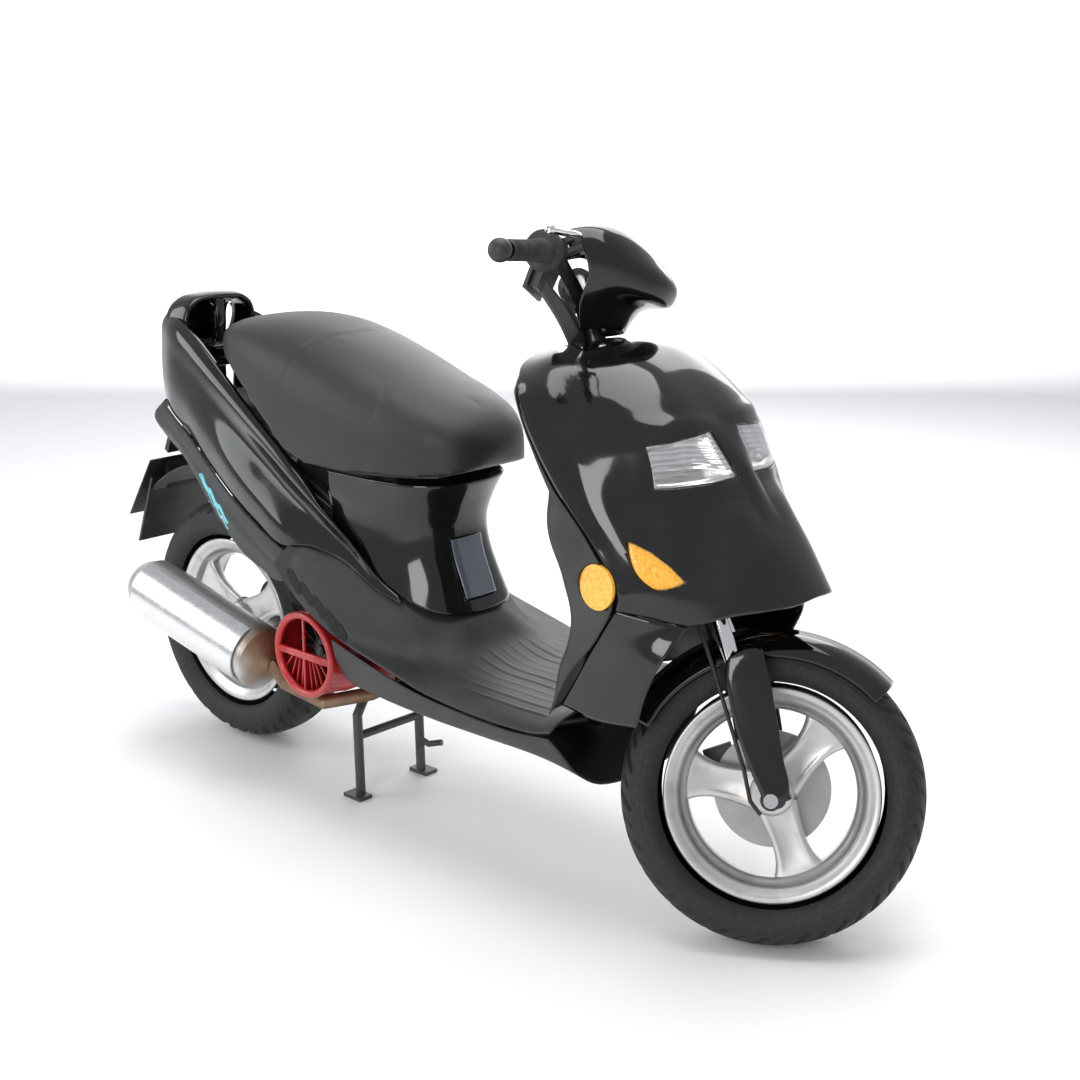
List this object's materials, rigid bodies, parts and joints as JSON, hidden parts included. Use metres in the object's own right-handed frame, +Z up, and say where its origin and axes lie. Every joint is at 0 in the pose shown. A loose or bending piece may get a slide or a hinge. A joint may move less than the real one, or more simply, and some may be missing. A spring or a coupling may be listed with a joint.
{
  "type": "moped scooter",
  "caption": "Step-through moped scooter on its centre stand, bars turned left: gloss bodywork, padded seat, swinging engine unit, telescopic fork and cast wheels.",
  "frame": {"origin": "on the ground on the centre plane, midway between the number plate and the turned front tyre, with the scooter on its centre stand", "axes": "+X forwards, +Y to the rider's left, +Z up"},
  "size_m": [1.7588, 0.6091, 1.106],
  "materials": {
    "gloss_bodywork": "deep gloss black moulded panels",
    "grained_plastic": "dark grey fine-grained polypropylene",
    "frame_paint": "satin black powder coat",
    "clear_lens": "clear moulded lamp lens",
    "lamp_reflector": "bright metallised reflector",
    "amber_lens": "amber lens",
    "red_lens": "red lens",
    "vinyl": "grained black seat vinyl over foam",
    "wheel_paint": "silver painted cast alloy",
    "tyre_rubber": "black tyre rubber",
    "soft_rubber": "black grip and pedal rubber",
    "chrome": "bright chrome plate",
    "cast_case": "bare die-cast alloy",
    "red_plastic": "red moulded fan cover",
    "muffler_steel": "heat-tinted steel",
    "bright_steel": "bright rolled steel",
    "stand_paint": "worn grey paint",
    "spring_paint": "red coated spring wire",
    "tank_plastic": "moulded tank",
    "dial_plastic": "dark instrument housing"
  },
  "bodies": {
    "frame": {"main_frame": "frame_paint", "front_apron": "gloss_bodywork", "wheel_arch_covers": "gloss_bodywork", "headlight_housings": "lamp_reflector", "headlight_lenses": "clear_lens", "indicator_lenses": "amber_lens", "side_reflectors": "amber_lens", "legshield": "grained_plastic", "floorboard": "grained_plastic", "belly_pan": "grained_plastic", "seat_pillar_cover": "gloss_bodywork", "access_cover": "gloss_bodywork", "side_panels": "gloss_bodywork", "lower_trims": "grained_plastic", "tail_hoop": "grained_plastic", "tail_light_lens": "red_lens", "rear_mudguard": "grained_plastic", "number_plate": "stand_paint", "storage_bucket": "tank_plastic", "fuel_tank": "tank_plastic", "shock_body": "frame_paint", "shock_spring": "spring_paint"},
    "steering": {"fork_yoke": "frame_paint", "fork_stanchions": "chrome", "handlebar": "frame_paint", "headset_cover": "gloss_bodywork", "instrument_cluster": "dial_plastic", "bar_rubbers": "soft_rubber", "control_housings": "grained_plastic"},
    "fork_lowers": {"fork_sliders": "frame_paint", "front_mudguard": "gloss_bodywork", "front_axle": "bright_steel", "brake_caliper": "frame_paint", "control_cables": "soft_rubber"},
    "front_wheel": {"front_rim": "wheel_paint", "front_tyre": "tyre_rubber", "brake_disc": "bright_steel"},
    "throttle": {"throttle_grip": "soft_rubber"},
    "right_lever": {"front_brake_lever": "chrome"},
    "left_lever": {"rear_brake_lever": "chrome"},
    "starter": {"starter_button": "grained_plastic"},
    "horn": {"horn_button": "grained_plastic"},
    "indicator_slider": {"indicator_switch": "grained_plastic"},
    "key": {"ignition_key": "bright_steel"},
    "seat": {"seat_cushion": "vinyl", "seat_base": "grained_plastic"},
    "cap": {"fuel_cap": "grained_plastic"},
    "engine": {"crankcase": "cast_case", "cvt_cover": "cast_case", "cylinder_shroud": "grained_plastic", "fan_cover": "red_plastic", "airbox": "grained_plastic", "exhaust": "muffler_steel", "heat_shield": "bright_steel"},
    "crank": {"crankshaft_and_fan": "bright_steel"},
    "rear_wheel": {"rear_rim": "wheel_paint", "rear_tyre": "tyre_rubber"},
    "shock_lower": {"shock_rod": "bright_steel"},
    "stand": {"centre_stand": "stand_paint"},
    "kickstart": {"kickstart_lever": "bright_steel"}
  },
  "joints": [
    {"name": "steering_turn", "type": "hinge", "parent": "frame", "child": "steering", "pos_m": [0.64, 0, 0.2337], "axis": [-0.4384, 0, 0.8988], "range_deg": [-77, 5]},
    {"name": "fork_travel", "type": "slide", "parent": "steering", "child": "fork_lowers", "axis": [-0.4384, 0, 0.8988], "range_m": [0, 0.05], "stiffness_N_per_m": 9000, "springref_m": -0.05},
    {"name": "front_wheel_spin", "type": "hinge", "parent": "fork_lowers", "child": "front_wheel", "pos_m": [0.66932, 0.01896, 0.23098], "axis": [-0.5409, 0.7986, -0.2638], "continuous": true},
    {"name": "throttle_twist", "type": "hinge", "parent": "steering", "child": "throttle", "pos_m": [0.37287, -0.21531, 1.06196], "axis": [-0.3511, 0.931, -0.0993], "range_deg": [0, 70], "stiffness_Nm_per_rad": 0.4, "springref_deg": -17.19},
    {"name": "front_brake_squeeze", "type": "hinge", "parent": "steering", "child": "right_lever", "pos_m": [0.37381, -0.11795, 1.06372], "axis": [0.4384, 0, -0.8988], "range_deg": [0, 12], "stiffness_Nm_per_rad": 6, "springref_deg": -5.73},
    {"name": "rear_brake_squeeze", "type": "hinge", "parent": "steering", "child": "left_lever", "pos_m": [0.19077, 0.15229, 0.97445], "axis": [-0.4384, 0, 0.8988], "range_deg": [0, 12], "stiffness_Nm_per_rad": 6, "springref_deg": -5.73},
    {"name": "starter_press", "type": "slide", "parent": "steering", "child": "starter", "axis": [0.8245, 0.5655, 0.0216], "range_m": [0, 0.003], "stiffness_N_per_m": 400, "springref_m": -0.002},
    {"name": "horn_press", "type": "slide", "parent": "steering", "child": "horn", "axis": [0.7718, 0.596, 0.2216], "range_m": [0, 0.003], "stiffness_N_per_m": 400, "springref_m": -0.002},
    {"name": "indicator_slide", "type": "slide", "parent": "steering", "child": "indicator_slider", "axis": [0.8317, 0.461, -0.3095], "range_m": [0, 0.003], "stiffness_N_per_m": 400, "springref_m": -0.002},
    {"name": "key_turn", "type": "hinge", "parent": "frame", "child": "key", "pos_m": [0.336, -0.1, 0.716], "axis": [-0.9733, -0.1622, 0.1622], "range_deg": [0, 90]},
    {"name": "seat_lift", "type": "hinge", "parent": "frame", "child": "seat", "pos_m": [0.072, 0, 0.646], "axis": [0, 1, 0], "range_deg": [0, 60]},
    {"name": "cap_turn", "type": "hinge", "parent": "frame", "child": "cap", "pos_m": [-0.47, 0, 0.73], "axis": [0, 0, 1], "range_deg": [0, 90]},
    {"name": "engine_swing", "type": "hinge", "parent": "frame", "child": "engine", "pos_m": [-0.112, 0, 0.352], "axis": [0, 1, 0], "range_deg": [0, 7], "stiffness_Nm_per_rad": 2250, "springref_deg": -5.73},
    {"name": "crank_spin", "type": "hinge", "parent": "engine", "child": "crank", "pos_m": [-0.2, 0, 0.305], "axis": [0, 1, 0], "continuous": true},
    {"name": "rear_wheel_spin", "type": "hinge", "parent": "engine", "child": "rear_wheel", "pos_m": [-0.6, 0, 0.248], "axis": [0, 1, 0], "continuous": true},
    {"name": "shock_travel", "type": "slide", "parent": "frame", "child": "shock_lower", "axis": [0, 0, 1], "range_m": [0, 0.054], "deforming": ["shock_spring"]},
    {"name": "stand_fold", "type": "hinge", "parent": "engine", "child": "stand", "pos_m": [-0.196, 0, 0.196], "axis": [0, 1, 0], "range_deg": [0, 78]},
    {"name": "kickstart_push", "type": "hinge", "parent": "engine", "child": "kickstart", "pos_m": [-0.43, 0.15, 0.265], "axis": [0, 1, 0], "range_deg": [0, 40], "stiffness_Nm_per_rad": 6, "springref_deg": -5.73}
  ],
  "couplings": [
    {"joint": "shock_travel", "follows": "engine_swing", "m_per_rad": 0.436}
  ]
}
